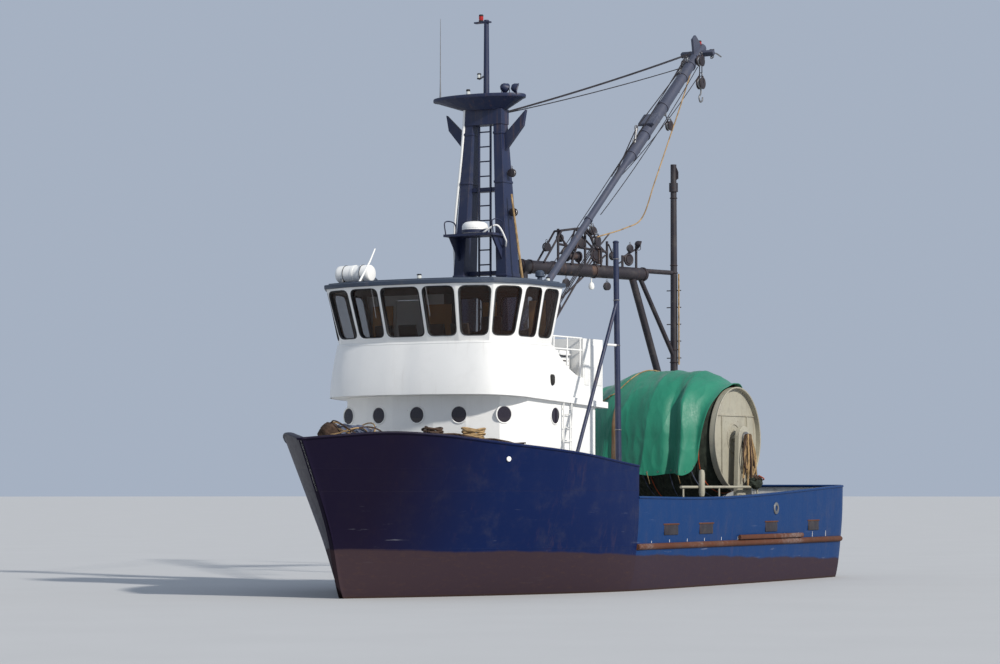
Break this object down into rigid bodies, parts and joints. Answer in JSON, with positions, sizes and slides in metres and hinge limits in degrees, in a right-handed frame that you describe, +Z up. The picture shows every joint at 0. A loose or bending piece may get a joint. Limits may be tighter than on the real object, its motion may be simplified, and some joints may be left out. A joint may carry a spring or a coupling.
{
  "type": "fishing trawler",
  "caption": "House-forward steel fishing trawler, afloat, with a mast and boom, gantry, net reel under a green tarp and a raised bow.",
  "frame": {"origin": "amidships on the centreline, at the waterline", "axes": "+X forward to the bow, +Y to port, +Z up"},
  "size_m": [17.9413, 6.47, 14.9492],
  "materials": {
    "hull_blue": "worn gloss enamel, blue aft and navy at the bow, dark bottom paint",
    "hull_navy": "worn gloss enamel",
    "white_paint": "semi-gloss marine enamel, lightly stained",
    "roof_paint": "satin dark blue-grey enamel",
    "mast_paint": "satin navy enamel",
    "gear_paint": "satin dark enamel, scuffed",
    "deck_paint": "matt non-slip deck paint",
    "bare_steel": "galvanised, weathered",
    "bronze": "dull cast bronze",
    "reel_paint": "light grey-beige enamel, rust-stained",
    "net_twine": "wound twine net",
    "tarp_cloth": "green woven plastic sheet, creased",
    "door_rust": "rust-brown primer",
    "bottom_paint": "matt antifouling, fouled",
    "console_trim": "matt dark laminate"
  },
  "bodies": {
    "vessel": {"hull": "hull_blue", "bulwark_forward": "hull_navy", "bulwark_aft": "hull_blue", "deckhouse_walls": "white_paint", "boat_deck": "white_paint", "pilothouse_band": "white_paint", "pilothouse_window_wall": "white_paint", "pilothouse_roof": "roof_paint", "helm_console": "console_trim", "vent_casing": "white_paint", "landing_steps": "deck_paint", "wing_screen_port": "white_paint", "wing_screen_starboard": "white_paint", "locker_port": "white_paint", "locker_starboard": "white_paint", "mast_leg_port": "mast_paint", "mast_leg_starboard": "mast_paint", "mast_head": "mast_paint", "mast_ladder": "mast_paint", "radar_platform": "mast_paint", "radome": "white_paint", "boom_step": "mast_paint", "gantry_beam": "gear_paint", "gantry_arm": "gear_paint", "gantry_post": "gear_paint", "gantry_strut_upper": "gear_paint", "gantry_strut_lower": "gear_paint", "aft_pole": "gear_paint", "side_post": "mast_paint", "reel_stand_port": "reel_paint", "reel_stand_starboard": "reel_paint", "winch_frame": "gear_paint", "windlass_frame": "bare_steel", "hatch_coaming": "bare_steel", "life_raft": "white_paint", "bow_bitt": "gear_paint"},
    "rudder_blade": {"rudder": "bottom_paint"},
    "screw": {"propeller": "bronze"},
    "swivel": {"boom_swivel": "gear_paint"},
    "derrick": {"boom": "gear_paint"},
    "reel": {"net_reel": "reel_paint", "wound_net": "net_twine", "tarp": "tarp_cloth"},
    "port_drum": {"winch_drum_port": "bare_steel"},
    "starboard_drum": {"winch_drum_starboard": "bare_steel"},
    "gypsy": {"windlass_drum": "bare_steel"},
    "lid": {"hatch_lid": "bare_steel"},
    "house_door": {"deckhouse_door": "door_rust"},
    "cabin_door": {"pilothouse_door": "white_paint"}
  },
  "joints": [
    {"name": "rudder_turn", "type": "hinge", "parent": "vessel", "child": "rudder_blade", "pos_m": [-7.6, 0, -1.6], "axis": [0, 0, 1], "range_deg": [-35, 35]},
    {"name": "propeller_spin", "type": "hinge", "parent": "vessel", "child": "screw", "pos_m": [-6.77, 0, -1.65], "axis": [1, 0, 0], "continuous": true},
    {"name": "boom_slew", "type": "hinge", "parent": "vessel", "child": "swivel", "pos_m": [1.75, 0, 4.45], "axis": [0, 0, 1], "range_deg": [-65, 65]},
    {"name": "boom_luff", "type": "hinge", "parent": "swivel", "child": "derrick", "pos_m": [1.75, 0, 4.78], "axis": [0, 1, 0], "range_deg": [-5, 25]},
    {"name": "reel_spin", "type": "hinge", "parent": "vessel", "child": "reel", "pos_m": [-5.9, 0, 3.14], "axis": [0, 1, 0], "continuous": true},
    {"name": "winch_port_spin", "type": "hinge", "parent": "vessel", "child": "port_drum", "pos_m": [0.15, 0.58, 1.62], "axis": [0, 1, 0], "continuous": true},
    {"name": "winch_starboard_spin", "type": "hinge", "parent": "vessel", "child": "starboard_drum", "pos_m": [0.15, -0.58, 1.62], "axis": [0, 1, 0], "continuous": true},
    {"name": "windlass_spin", "type": "hinge", "parent": "vessel", "child": "gypsy", "pos_m": [7.1, 0.21, 2.56], "axis": [0, 1, 0], "continuous": true},
    {"name": "hatch_lid_hinge", "type": "hinge", "parent": "vessel", "child": "lid", "pos_m": [-1.81, 0, 1.39], "axis": [0, 1, 0], "range_deg": [0, 100]},
    {"name": "deckhouse_door_hinge", "type": "hinge", "parent": "vessel", "child": "house_door", "pos_m": [1.4857, 1.532, 2.85], "axis": [0, 0, -1], "range_deg": [0, 105]},
    {"name": "pilothouse_door_hinge", "type": "hinge", "parent": "vessel", "child": "cabin_door", "pos_m": [3.2357, -1.512, 4.89], "axis": [0, 0, 1], "range_deg": [0, 105]}
  ]
}
